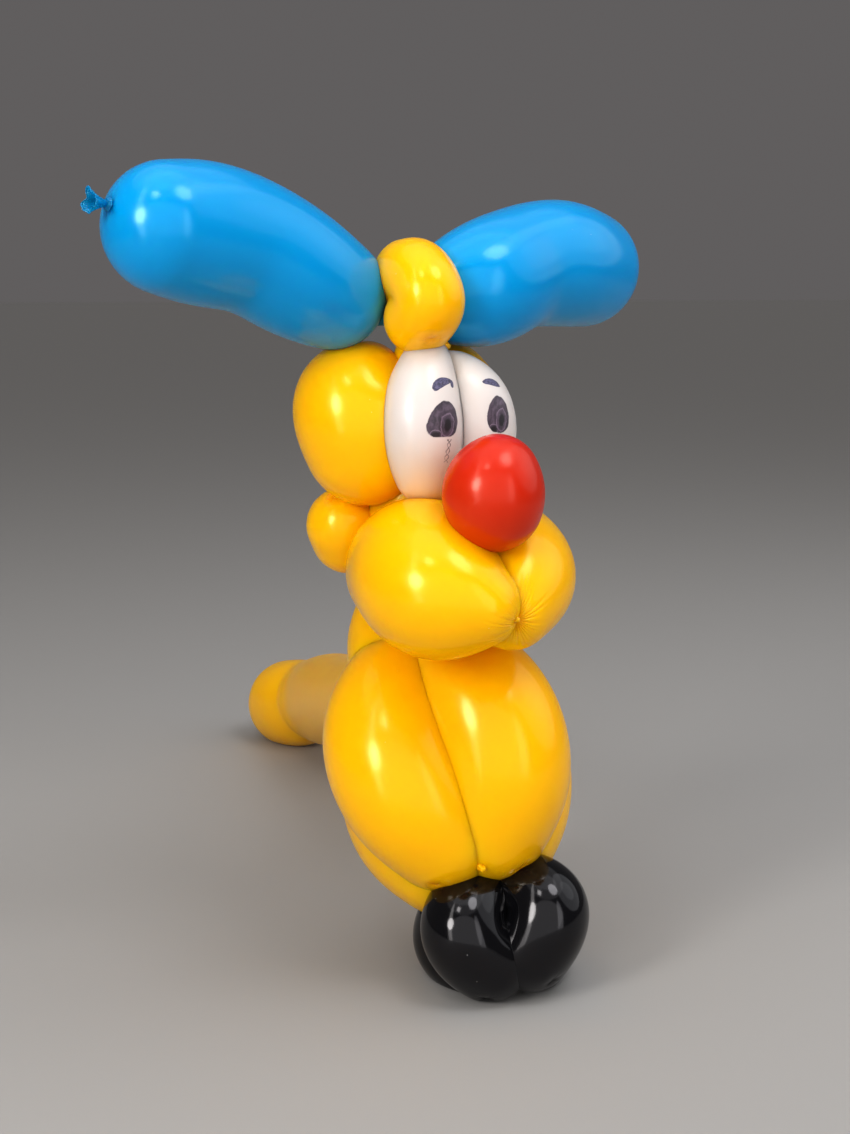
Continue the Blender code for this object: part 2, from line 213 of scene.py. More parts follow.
@dataclass(frozen=True)
class Bubble(Part):
    """One inflated length of a balloon."""

    name: str
    stations: Line  # spheres on the centre line, from twist to twist
    facet: Facet = Facet.SHOWN  # side of a facet on the skin
    ends: tuple[Twist, Twist] = (Twist(), Twist(seed=2))  # the twist at the first and at the last station
    firmness: float = 1.0  # how little it gives way to a bubble that it presses on
    line: np.ndarray = field(init=False, repr=False)  # the centre line, worked out from the stations

    def __post_init__(self) -> None:
        """Works the centre line out."""
        places = np.array(self.stations, float)
        length = np.linalg.norm(np.diff(places[:, :3], axis=0), axis=1).sum()
        count = max(FEWEST_POINTS, round(length / LINE_STEP))
        object.__setattr__(self, "line", smooth_line(places, count))

    def bubbles(self) -> list[Bubble]:
        """Itself."""
        return [self]

    @property
    def centres(self) -> np.ndarray:
        """Points of the centre line."""
        return self.line[:, :3]

    @property
    def radii(self) -> np.ndarray:
        """Radius at each of those points."""
        return self.line[:, 3]

    @property
    def widest(self) -> float:
        """The greatest radius."""
        return float(self.radii.max())

    def distance(self, points: np.ndarray) -> np.ndarray:
        """Distance of each point from the skin before anything presses on it, negative inside.

        Args:
            points: one row for each point.

        Returns:
            The distances, smooth along the bubble.
        """
        squared = (points**2).sum(axis=1)[:, None] - 2.0 * points @ self.centres.T
        squared += (self.centres**2).sum(axis=1)
        away = np.sqrt(np.maximum(squared, 0.0)) - self.radii
        rows = np.arange(len(points))
        middle = np.clip(away.argmin(axis=1), 1, len(self.radii) - 2)
        before, at, after = away[rows, middle - 1], away[rows, middle], away[rows, middle + 1]
        slope, bend = 0.5 * (after - before), np.maximum(after - 2.0 * at + before, 1e-9)
        shift = np.clip(-slope / bend, -1.0, 1.0)
        return at + slope * shift + 0.5 * bend * shift**2

    def near(self, other: Bubble, reach: float) -> bool:
        """Whether the two skins come within the given distance."""
        return bool((self.distance(other.centres) - other.radii).min() < reach)


class Skin:
    """A bubble's surface, as its neighbours and the floor let it be."""

    MARCH = 15  # steps along a ray, from inside the bubble to its skin
    FLATTEST = 0.22  # slope of the distance along a ray, at least
    TOUCH = 1.0  # how near two bubbles come before they count as pressing on each other
    TRIES = 61  # points that are tried along a bubble, to find how far its inside reaches
    BELOW = 0.8  # how much lower a balloon lies whose bounce light is painted into this one, as a share of the radius
    CAP_ROWS = 1.15  # rings on a round end, for each facet's side of its quarter circle
    FEWEST_ROWS = 8
    CROWDING = 1.35  # how much closer the rings lie near the poles
    FOLDED = 0.9  # how gathered the rubber of the deepest fold is

    def __init__(self, bubble: Bubble, siblings: Sequence[Bubble], strangers: Sequence[Bubble]) -> None:
        """Works the surface out.

        Args:
            bubble: the bubble.
            siblings: the bubbles of the same balloon.
            strangers: the bubbles of the others.
        """
        self.bubble = bubble
        self.strangers = [one for one in strangers if bubble.near(one, self.TOUCH)]
        self.close = [one for one in siblings if one is not bubble and bubble.near(one, self.TOUCH)]
        self.close += self.strangers
        self.gather = np.zeros(0)
        self.points = self._inflate()
        # painted bounce light: where the colour of a balloon below is painted into this skin
        self.painted_bounce = self._painted_bounce()

    def outside(self, points: np.ndarray) -> np.ndarray:
        """Distance of each point from the surface, with the neighbours and the floor pressing on it.

        Args:
            points: one row for each point.

        Returns:
            The distances, negative inside.
        """
        own = self.bubble.distance(points)
        limit = own
        for rival in self.close:
            firm, soft = self.bubble.firmness, rival.firmness
            shared = (firm * own - soft * rival.distance(points)) / (firm + soft)
            limit = np.maximum(limit, shared - LAP)
        return soft_max(limit, FLOOR - points[:, 2], SOLE_ROUND)

    def _painted_bounce(self) -> np.ndarray:
        """Finds where the light that another balloon below bounces up into this one is painted.

        Returns:
            Share of painted bounce light at each point, from a balloon below.
        """
        level = self.bubble.centres[:, 2].mean() - self.BELOW * self.bubble.widest
        lower = [one for one in self.strangers if one.centres[:, 2].mean() < level]
        flat = self.points.reshape(-1, 3)
        nearest = np.full(len(flat), np.inf)
        for one in lower:
            nearest = np.minimum(nearest, np.maximum(one.distance(flat), 0.0))
        return np.exp(-nearest / PAINTED_BOUNCE_REACH).reshape(self.points.shape[:2])

    def _inflate(self) -> np.ndarray:
        """Sends rays out to the surface, and gathers it at its twists.

        Returns:
            Points of shape (rings, segments, 3); the first and last ring are the poles.
        """
        bubble = self.bubble
        shares = np.linspace(-0.5, 0.5, self.TRIES)[:, None]
        middle = bubble.centres.mean(axis=0) + shares * (bubble.centres[-1] - bubble.centres[0])
        deep = self.outside(middle) < -DEEP * bubble.widest
        half = self.TRIES // 2
        inner = middle[deep] if deep.any() else middle[half - 1 : half + 2]
        starts, directions, turns = self._rays(inner[0], inner[-1])
        flat, aim = starts.reshape(-1, 3), directions.reshape(-1, 3)
        along = np.zeros(len(flat))
        value = self.outside(flat)
        slope = np.ones(len(flat))
        for _ in range(self.MARCH):
            step = -value / slope
            along = along + step
            new = self.outside(flat + aim * along[:, None])
            moved = np.where(np.abs(step) > 1e-5, step, 1.0)
            slope = np.clip((new - value) / moved, self.FLATTEST, 1.0)
            value = new
        points = (flat + aim * along[:, None]).reshape(starts.shape)
        self.gather = np.zeros(points.shape[:2])
        for end, twist in enumerate(bubble.ends):
            points = self._gather(points, turns, twist, last=end == 1)
        return points

    def _rays(self, start: np.ndarray, end: np.ndarray) -> tuple[np.ndarray, np.ndarray, np.ndarray]:
        """Starts and directions that sweep over the bubble, in rings from twist to twist.

        Args:
            start: one end of the straight line that the rays leave.
            end: its other end.

        Returns:
            Starts and directions of shape (rings, segments, 3), and the segments' angles.
        """
        bubble, side = self.bubble, self.bubble.facet.side
        chord = end - start
        length = float(np.linalg.norm(chord))
        along = chord / max(length, 1e-6)
        segments = 2 * round(math.pi * bubble.widest / side)
        quarter = 0.25 * TURN
        cap = max(self.FEWEST_ROWS, round(quarter * bubble.widest / side * self.CAP_ROWS))
        between = max(1, round(length / side))
        across = unit(np.cross(along, (0.0, 0.0, 1.0) if abs(along[2]) < 0.9 else (0.0, 1.0, 0.0)))
        third = np.cross(along, across)
        turns = np.linspace(0.0, TURN, segments, endpoint=False)
        circle = np.cos(turns)[:, None] * across + np.sin(turns)[:, None] * third
        lean = quarter * (1.0 - (1.0 - np.linspace(0.0, 1.0, cap + 1)) ** self.CROWDING)

        def end_rows(origin: np.ndarray, away: np.ndarray, twist: Twist, angles: np.ndarray) -> np.ndarray:
            """Directions of a round end, whose pole is turned to its twist.

            Args:
                origin: the ball's middle.
                away: direction out of the bubble.
                twist: the twist.
                angles: of its rings, from its rim.

            Returns:
                The directions, of shape (rings, segments, 3).
            """
            target = away if twist.place is None else unit(np.array(twist.place) - origin)
            angles = angles[:, None, None]
            axis = unit(away + angles / quarter * (target - away))
            level = unit(circle - (circle * axis).sum(axis=2, keepdims=True) * axis)
            return np.cos(angles) * level + np.sin(angles) * axis

        first = end_rows(start, -along, bubble.ends[0], lean[::-1])
        last = end_rows(end, along, bubble.ends[1], lean)
        places = [start + share * chord for share in np.linspace(0.0, 1.0, between + 1)[1:-1]]
        origins = [start] * len(first) + places + [end] * len(last)
        starts = np.repeat(np.array(origins)[:, None], segments, axis=1)
        return starts, np.array([*first, *[circle] * len(places), *last]), turns

    def _gather(self, points: np.ndarray, turns: np.ndarray, twist: Twist, last: bool) -> np.ndarray:
        """Draws the skin in to a twist and folds it into puckers.

        Args:
            points: the skin so far.
            turns: angles of its segments.
            twist: the twist.
            last: whether it is at the last ring.

        Returns:
            The changed points.
        """
        pole = points[-1 if last else 0].mean(axis=0)
        outward = unit(pole - points[len(points) // 2].mean(axis=0))
        place = pole - outward * twist.depth if twist.place is None else np.array(twist.place)
        away = np.linalg.norm(points - place, axis=2)
        half = (np.arange(len(points)) >= len(points) // 2)[:, None] == last
        near = half & (away < max(twist.reach, twist.length))
        drawn = twist.pull * np.clip(1.0 - away / twist.reach, 0.0, 1.0) ** 2
        points = points + (place - points) * np.where(near, drawn, 0.0)[..., None]
        away = np.linalg.norm(points - place, axis=2)
        fold = np.where(near, twist.folds(turns, away), 0.0)
        normal = unit(points - self.bubble.centres[-1 if last else 0])
        close = np.where(near, np.clip(1.0 - away / twist.reach, 0.0, 1.0), 0.0)
        folded = self.FOLDED * np.clip(fold / max(twist.relief, 1e-6), 0.0, 1.0)
        self.gather = np.maximum(self.gather, np.maximum(close, folded))
        return points - normal * fold[..., None]


@dataclass
class Shell:
    """Points, faces and tints of a closed surface that is still to be made into a mesh."""

    points: np.ndarray
    faces: list[tuple[int, ...]]
    tints: np.ndarray

    @classmethod
    def of_rows(
        cls, rows: np.ndarray, gather: float | np.ndarray = 1.0, painted_bounce: float | np.ndarray = 0.0
    ) -> Shell:
        """A closed surface from rings of points whose first and last rings are poles.

        Args:
            rows: points of shape (rings, segments, 3).
            gather: how far the rubber is gathered at each of them, from 0 to 1.
            painted_bounce: share of painted bounce light, from a balloon below, at each of them.

        Returns:
            The surface, with its faces pointing outwards.
        """
        rings, segments = rows.shape[:2]
        tints = np.stack([np.broadcast_to(tint, rows.shape[:2]) for tint in (gather, painted_bounce)], axis=2)

        def listed(grid: np.ndarray) -> np.ndarray:
            """A value for each of the surface's points."""
            inner = grid[1:-1].reshape(-1, grid.shape[2])
            return np.concatenate([grid[:1].mean(axis=1), inner, grid[-1:].mean(axis=1)])

        points, values = listed(rows), listed(tints)
        last = len(points) - 1
        index = 1 + np.arange((rings - 2) * segments).reshape(rings - 2, segments)
        turned = np.roll(index, -1, axis=1)
        faces = [(0, int(b), int(a)) for a, b in zip(index[0], turned[0], strict=True)]
        sides = np.stack([index[:-1], turned[:-1], turned[1:], index[1:]], axis=-1).reshape(-1, 4)
        faces += [tuple(face) for face in sides.tolist()]
        faces += [(last, int(a), int(b)) for a, b in zip(index[-1], turned[-1], strict=True)]
        along, around = np.diff(rows, axis=0), (np.roll(rows, -1, axis=1) - rows)[:-1]
        outward = np.einsum("ijk,ijk->", rows[:-1] - rows.mean(axis=(0, 1)), np.cross(around, along))
        return cls(points, faces if outward > 0.0 else [face[::-1] for face in faces], values)


def make_mesh(name: str, shells: Sequence[Shell], datum: np.ndarray) -> bpy.types.Object:
    """Makes one object of several surfaces.

    Args:
        name: the object's name.
        shells: the surfaces, in millimetres from the datum.
        datum: where the datum lies in the frame, in millimetres.

    Returns:
        The object, in the scene, shaded smooth, with its tints as attributes.
    """
    points: list[np.ndarray] = []
    faces: list[tuple[int, ...]] = []
    for shell in shells:
        first = sum(len(part) for part in points)
        faces += [tuple(first + i for i in face) for face in shell.faces]
        points.append(shell.points)
    mesh = bpy.data.meshes.new(name)
    mesh.from_pydata(((np.concatenate(points) + datum) * MM).tolist(), [], faces)
    mesh.update()
    mesh.shade_smooth()
    tints = np.concatenate([shell.tints for shell in shells]).astype(np.float32)
    # the gathered rubber, and the painted bounce light from balloons below
    for column, name_of in enumerate(("gather", "painted_bounce")):
        mesh.attributes.new(name_of, "FLOAT", "POINT").data.foreach_set("value", tints[:, column].copy())
    made = bpy.data.objects.new(name, mesh)
    bpy.context.scene.collection.objects.link(made)
    return made


def ring_of(axis: np.ndarray, turns: np.ndarray) -> np.ndarray:
    """Unit vectors square to an axis, one for each angle; the quarter turn's is the highest."""
    level = unit(np.cross((0.0, 0.0, 1.0), axis))
    return np.cos(turns)[:, None] * level + np.sin(turns)[:, None] * np.cross(axis, level)


@dataclass(frozen=True)
class Knob(Part):
    """A small wrinkled end of twisted rubber."""

    place: Point  # its middle
    towards: Point  # direction that it points in
    radius: float  # its greatest radius
    length: float
    seed: int  # of its wrinkles

    def shells(self) -> list[Shell]:
        """Turns its wrinkled outline round its axis.

        Returns:
            Its surface.
        """
        axis = unit(np.array(self.towards, float))
        phases = np.random.default_rng(self.seed).uniform(0.0, TURN, 3)
        shares, turns = np.linspace(0.0, 1.0, 17)[:, None], np.linspace(0.0, TURN, 30, endpoint=False)
        round_off = np.sqrt(np.clip(4.0 * shares * (1.0 - shares), 0.0, 1.0))
        wrinkle = 0.10 * np.cos(5.0 * turns + phases[0] + 2.0 * shares)
        wrinkle = wrinkle + 0.07 * np.cos(9.0 * turns + phases[1]) + 0.12 * np.cos(9.0 * shares + phases[2])
        size = self.radius * round_off * (1.0 + wrinkle)
        along = ((shares - 0.5) * self.length)[..., None] * axis
        return [Shell.of_rows(np.array(self.place) + size[..., None] * ring_of(axis, turns) + along)]


@dataclass(frozen=True)
class Mouth(Part):
    """The knotted mouth of a balloon: a short neck, the knot's ring, and a crumpled cup with a rolled rim."""

    root: Point  # where the neck leaves the skin
    towards: Point  # direction that it points in
    ring: float = 2.5  # radius of the knot's ring
    neck: float = 1.5  # radius of the rubber on either side of it
    rim: float = 3.8  # mean radius of the cup's rim
    depth: float = 6.3  # length of the cup
    roll: float = 0.3  # radius of the rolled rim

    SUNK = -3.0  # where the neck starts, inside the skin
    KNOT = (0.2, 2.8)  # where the ring starts and ends
    CUP = 3.2  # where the cup starts
    FLARE = 1.3  # how late the cup widens
    INSIDE = (-0.3, 0.35)  # from the cup's outer wall to its inner one, outward and along the axis

    @property
    def axis(self) -> np.ndarray:
        """Direction from the skin to the rim."""
        return unit(np.array(self.towards, float))

    def shells(self) -> list[Shell]:
        """Winds the ring, and turns the neck with the cup.

        Returns:
            The knot's ring, and the neck with the cup.
        """
        turns = np.linspace(0.0, TURN, 72, endpoint=False)
        ring = ring_of(self.axis, turns)
        waves = ((0.32, 3.0, 0.5), (0.16, 5.0, 2.0), (0.05, 11.0, 0.0))
        folds = sum(size * np.cos(count * turns + start) for size, count, start in waves)
        lean = (0.15 * np.cos(3.0 * turns + 1.3) + 0.11 * np.cos(2.0 * turns)) * self.rim

        def row(radius: float, along: float, crumple: float) -> np.ndarray:
            """One ring of the surface."""
            size = radius * (1.0 + crumple * folds)
            return np.array(self.root) + size[:, None] * ring + (along + crumple * lean)[:, None] * self.axis

        shares = np.linspace(0.0, 1.0, 16)[1:]
        cup = [
            (share, self.neck + (self.rim - self.neck) * share**self.FLARE, self.CUP + self.depth * share)
            for share in shares
        ]
        rows = [row(radius, self.SUNK, 0.0) for radius in (0.0, self.neck)]
        rows += [row(self.neck, along, 0.0) for along in (0.6, self.CUP)]
        rows += [row(radius, along, share) for share, radius, along in cup]
        for angle in np.linspace(-0.25 * TURN, 0.7 * TURN, 12):
            radius = self.rim + self.roll * (math.cos(angle) + 0.4)
            rows.append(row(radius, self.CUP + self.depth + self.roll * (1.0 + math.sin(angle)), 1.0))
        for share, radius, along in cup[-2::-1]:
            rows.append(row(radius + self.INSIDE[0], along + self.INSIDE[1], share))
        rows.append(row(0.0, self.CUP + 1.2, 0.0))
        return [self._ring(), Shell.of_rows(np.array(rows), 0.95)]

    def _ring(self) -> Shell:
        """Winds rubber round the neck.

        Returns:
            The knot's ring.
        """
        turns = np.linspace(0.0, TURN, 48, endpoint=False)
        ring, core = ring_of(self.axis, turns), 0.7 * self.neck
        rows = []
        for share in np.linspace(0.0, 1.0, 25):
            bulge = math.sqrt(max(0.0, 1.0 - (2.0 * share - 1.0) ** 2))
            groove = 0.09 * np.cos(2.0 * TURN * share + turns) + 0.05 * np.cos(7.0 * turns + 3.0 * share)
            size = (core * min(1.0, bulge * 4.0) + (self.ring - core) * bulge) * (1.0 + groove)
            along = self.KNOT[0] + (self.KNOT[1] - self.KNOT[0]) * share
            rows.append(np.array(self.root) + size[:, None] * ring + along * self.axis)
        return Shell.of_rows(np.array(rows), 0.8)


# ---- The six balloons ----


@dataclass
class Balloon:
    """One balloon of the dog. Its parts are fields, in the order that they are twisted."""

    node: str  # the frame's node that it stands for
    rubber: Rubber

    @property
    def parts(self) -> list[Part]:
        """Its parts."""
        return [one for one in vars(self).values() if isinstance(one, Part)]

    @cached_property
    def bubbles(self) -> list[Bubble]:
        """The bubbles of all its parts."""
        return [bubble for part in self.parts for bubble in part.bubbles()]

    def build(self, strangers: Sequence[Bubble], datum: np.ndarray) -> bpy.types.Object:
        """Makes the skin, with its knots, and puts it in its node's place.

        Args:
            strangers: the bubbles of the other balloons.
            datum: where the datum lies in the frame, in millimetres.

        Returns:
            The skin's object.
        """
        skins = [Skin(bubble, self.bubbles, strangers) for bubble in self.bubbles]
        shells = [Shell.of_rows(one.points, one.gather, one.painted_bounce) for one in skins]
        shells += [shell for part in self.parts for shell in part.shells()]
        piece = make_mesh(self.node.replace("_balloon", "_skin"), shells, datum)
        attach(piece, "root")
        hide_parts(self.node)
        return piece

    def dress(self, piece: bpy.types.Object, finish: bpy.types.Material) -> None:
        """Puts its rubber on the skin."""
        piece.data.materials.append(finish)


@dataclass
class Ears(Balloon):
    """The blue balloon: two long ears, with the knotted mouth at the right one's tip."""

    TIP = (-154.0, 22.6, 331.6)

    node: str = "ears_balloon"
    rubber: Rubber = Rubber.BLUE
    right: Bubble = Bubble(
        "right ear",
        (
            (-57.5, 40.5, 298.5, 23.5), (-72.2, 38.1, 305.8, 26.4), (-95.5, 35.7, 317.4, 27.5),
            (-115.3, 32.8, 321.8, 28.4), (-130.6, 28.0, 323.6, 26.1),
        ),
        ends=(Twist(seed=3), Twist(TIP, reach=5.0, relief=0.3, seed=5)),
    )
    between: Bubble = Bubble(
        "ear twist",
        ((-38.0, 38.5, 290.5, 6.0), (-26.0, 36.0, 290.0, 4.5), (-14.0, 31.5, 292.0, 6.0)), Facet.PLAIN,
    )
    left: Bubble = Bubble(
        "left ear",
        (
            (-3.1, 28.5, 299.5, 23.0), (5.2, 29.0, 301.5, 25.8), (26.6, 36.1, 308.6, 26.6),
            (52.6, 43.8, 311.4, 27.8), (69.2, 51.6, 309.6, 26.4),
        ),
        ends=(Twist(seed=4), BLUNT),
    )
    mouth: Mouth = Mouth(root=TIP, towards=(-0.86, -0.36, 0.14))


@dataclass
class Head(Balloon):
    """The yellow balloon of the head: the topknot over the ears, its sides, its muzzle and its jaws."""

    LIP = (-11.9, -40.3, 170.2)  # the twist that both muzzle bubbles end in

    node: str = "head_balloon"
    rubber: Rubber = Rubber.YELLOW
    topknot: Bubble = Bubble(
        "topknot",
        (
            (-26.2, 29.9, 305.8, 15.7), (-27.4, 16.1, 304.1, 14.7), (-26.5, 10.2, 295.9, 14.7),
            (-26.8, 19.1, 288.2, 15.0),
        ),
    )
    crown: Bubble = Bubble("crown", ((-26.0, 25.0, 286.0, 5.0), (-20.0, 37.0, 264.0, 12.0)), Facet.PLAIN)
    middle: Bubble = Bubble("middle", ((-20.0, 40.0, 204.0, 20.0), (-20.0, 42.0, 250.0, 16.0)), Facet.PLAIN)
    side_right: Bubble = Bubble(
        "right side",
        (
            (-42.2, 41.8, 260.0, 18.8), (-45.6, 43.6, 253.4, 25.2), (-43.2, 42.2, 244.8, 28.9),
            (-41.2, 41.3, 235.7, 27.5),
        ),
    )
    side_left: Bubble = Bubble(
        "left side", ((-2.3, 51.8, 253.5, 25.5), (0.6, 51.6, 245.2, 27.5), (-1.7, 51.6, 234.0, 26.0)),
    )
    muzzle_right: Bubble = Bubble(
        "right muzzle",
        (
            (-23.5, -29.9, 175.4, 17.3), (-33.2, -12.1, 179.8, 29.0), (-31.5, 6.0, 184.0, 31.0),
            (-28.8, 24.5, 181.3, 27.7),
        ),
        Facet.GATHERED, (Twist(LIP, puckers=40, relief=0.9, length=21.0, seed=21), Twist()),
    )
    muzzle_left: Bubble = Bubble(
        "left muzzle",
        (
            (-5.5, -24.3, 172.2, 17.8), (2.9, -11.3, 179.8, 24.6), (8.7, 7.0, 181.9, 28.2),
            (15.4, 21.5, 183.3, 26.3),
        ),
        Facet.GATHERED, (Twist(LIP, puckers=40, relief=0.9, length=21.0, seed=34), Twist()),
    )
    jaw_right: Bubble = Bubble("right jaw", ((-45.8, 56.7, 197.8, 16.9), (-43.2, 58.8, 192.5, 16.6)))
    jaw_left: Bubble = Bubble("left jaw", ((-12.0, 65.5, 195.5, 16.8), (-8.0, 65.0, 193.5, 16.8)))
    lip_end: Knob = Knob((-13.2, -42.5, 170.8), (1.0, -0.5, 0.45), 1.1, 3.6, seed=3)
    crown_end: Knob = Knob((-18.6, 15.2, 276.2), (1.0, -0.1, -0.5), 1.6, 4.4, seed=4)
    spare_end: Knob = Knob((-15.4, 17.2, 277.0), (1.0, 0.4, -0.25), 1.4, 5.0, seed=6)


@dataclass
class Eyes(Balloon):
    """The white balloon: two tall bubbles side by side."""

    node: str = "eyes_balloon"
    rubber: Rubber = Rubber.WHITE
    right: Bubble = Bubble(
        "right eye",
        (
            (-23.7, 18.8, 270.6, 10.2), (-27.6, 14.1, 255.6, 15.8), (-28.2, 12.0, 240.0, 17.2),
            (-26.6, 12.8, 224.8, 13.6),
        ),
    )
    left: Bubble = Bubble(
        "left eye",
        (
            (-10.4, 22.1, 263.5, 11.8), (-5.2, 18.3, 250.5, 18.9), (-4.4, 16.9, 237.9, 19.6),
            (-5.8, 15.0, 226.6, 16.6),
        ),
    )
    upper_end: Knob = Knob((-17.4, 14.6, 274.6), (0.8, 0.0, -0.6), 0.9, 3.4, seed=5)


@dataclass
class Nose(Balloon):
    """The small round red balloon, which gives way to nothing."""

    node: str = "nose_balloon"
    rubber: Rubber = Rubber.RED
    ball: Bubble = Bubble(
        "nose", ((-14.6, -26.3, 215.4, 19.4), (-15.1, -26.0, 218.6, 20.7), (-13.8, -26.7, 226.3, 17.2)),
        ends=(BLUNT, BLUNT), firmness=25.0,
    )


@dataclass(frozen=True)
class Bundle(Part):
    """Four bubbles round an axis, sharing the twist at each end."""

    name: str  # of each bubble
    base: Point  # the lower twist, where the axis starts
    axis: Point  # direction up the bundle, any length
    length: float  # from the first to the last station of a bubble
    radius: tuple[float, float, float]  # of a bubble at its lower end, middle and upper end
    half_width: float  # sideways distance of a bubble's middle from the axis
    half_depth: float  # distance of its middle in front of or behind the axis
    turn: float  # turn of the bundle about its axis, in degrees
    spiral: float  # further turn from the lower end to the upper one
    rear_drop: float = 0.0  # how far the rear pair lies below the front one, along the axis
    rear_spread: float = 1.0  # how much wider apart the rear pair lies than the front one, as a factor

    STATIONS = 5
    FULLNESS = 0.6  # how far the radius is drawn from its even change towards the middle's
    BOW = (0.12, 0.88)  # part of a half wave that a bubble bows along
    BOW_ROUND = 0.7  # how round that bow is

    def bubbles(self) -> list[Bubble]:
        """Sets the bubbles round the axis.

        Returns:
            Front right, front left, rear right and rear left.
        """
        up = unit(np.array(self.axis, float))
        side = unit(np.array([up[2], 0.0, -up[0]]))
        back = np.cross(up, side)
        shares = np.linspace(0.0, 1.0, self.STATIONS)
        radii = np.interp(shares, (0.0, 0.5, 1.0), self.radius)
        radii[1::2] += self.FULLNESS * (self.radius[1] - radii[1::2])
        bows = np.sin(math.pi * (self.BOW[0] + (self.BOW[1] - self.BOW[0]) * shares)) ** self.BOW_ROUND
        made = []
        for pair, ahead, drop, spread in (
            ("front", -1.0, 0.0, 1.0), ("rear", 1.0, self.rear_drop, self.rear_spread),
        ):
            for hand, left in (("right", -1.0), ("left", 1.0)):
                stations = []
                for share, radius, bow in zip(shares, radii, bows, strict=True):
                    angle = math.radians(self.turn + self.spiral * (share - 0.5))
                    across = math.cos(angle) * side + math.sin(angle) * back
                    behind = math.cos(angle) * back - math.sin(angle) * side
                    place = np.array(self.base) + up * (self.length * share - drop)
                    aside = left * spread * self.half_width * across
                    stations.append((*(place + bow * (aside + ahead * self.half_depth * behind)), radius))
                made.append(Bubble(f"{pair} {hand} {self.name}", tuple(stations)))
        return made


@dataclass
class Body(Balloon):
    """The yellow balloon of the body: four bubbles, the neck, and the long tail."""

    node: str = "body_balloon"
    rubber: Rubber = Rubber.YELLOW
    trunk: Bundle = Bundle(
        "body", base=(-7.3, 14.1, 65.3), axis=(0.003, 0.47, 0.85), length=68.2, radius=(25.7, 30.7, 25.8),
        half_width=22.4, half_depth=19.3, turn=-27.0, spiral=-15.4, rear_drop=8.5,
    )
    neck: Bubble = Bubble(
        "neck", ((-16.7, 57.5, 136.5, 26.0), (-15.2, 62.2, 141.0, 25.5), (-13.5, 65.6, 156.6, 20.3)),
    )
    tail: Bubble = Bubble(
        "tail",
        (
            (13.0, 82.0, 111.0, 25.0), (27.5, 173.0, 84.0, 25.6), (43.5, 272.0, 58.0, 26.6),
            (57.5, 350.0, 38.5, 27.8), (57.8, 371.0, 33.2, 26.2), (56.0, 386.0, 28.0, 28.6),
            (54.5, 402.5, 24.0, 29.0),
        ),
        Facet.PLAIN, (Twist(seed=8), BLUNT),
    )
    lower_end: Knob = Knob((-13.8, -15.2, 58.6), (0.1, -1.0, -0.3), 1.7, 5.0, seed=9)


@dataclass
class Feet(Balloon):
    """The black balloon: four small bubbles under the body."""

    node: str = "feet_balloon"
    rubber: Rubber = Rubber.BLACK
    paws: Bundle = Bundle(
        "foot", base=(2.8, -8.6, 14.8), axis=(-0.018, 0.538, 0.85), length=24.9, radius=(19.4, 18.8, 16.4),
        half_width=18.2, half_depth=14.7, turn=-16.3, spiral=8.6, rear_spread=1.05,
    )


# ---- Finishes ----


def operator(operation: str, turned: bool = False) -> Callable[..., Value]:
    """Makes a method of Value that adds a Math node.

    Args:
        operation: Blender's name of what the node does.
        turned: whether the value is its second input.

    Returns:
        The method.
    """

    def method(value: Value, other: Value | float = 0.0) -> Value:
        """The node's result."""
        return value.graph.maths(operation, *((other, value) if turned else (value, other)))

    return method


class Value:
    """What a shader's socket gives; arithmetic on it adds Math nodes."""

    __add__, __sub__, __rsub__ = operator("ADD"), operator("SUBTRACT"), operator("SUBTRACT", turned=True)
    __mul__, __truediv__, __pow__ = operator("MULTIPLY"), operator("DIVIDE"), operator("POWER")
    __abs__, sine, cosine, root = (operator(one) for one in ("ABSOLUTE", "SINE", "COSINE", "SQRT"))
    most, above, below = operator("MAXIMUM"), operator("GREATER_THAN"), operator("LESS_THAN")

    def __init__(self, graph: Graph, socket: bpy.types.NodeSocket) -> None:
        """Takes the graph and its socket."""
        self.graph, self.socket = graph, socket

    def clamped(self) -> Value:
        """The same, kept between 0 and 1."""
        self.socket.node.use_clamp = True
        return self


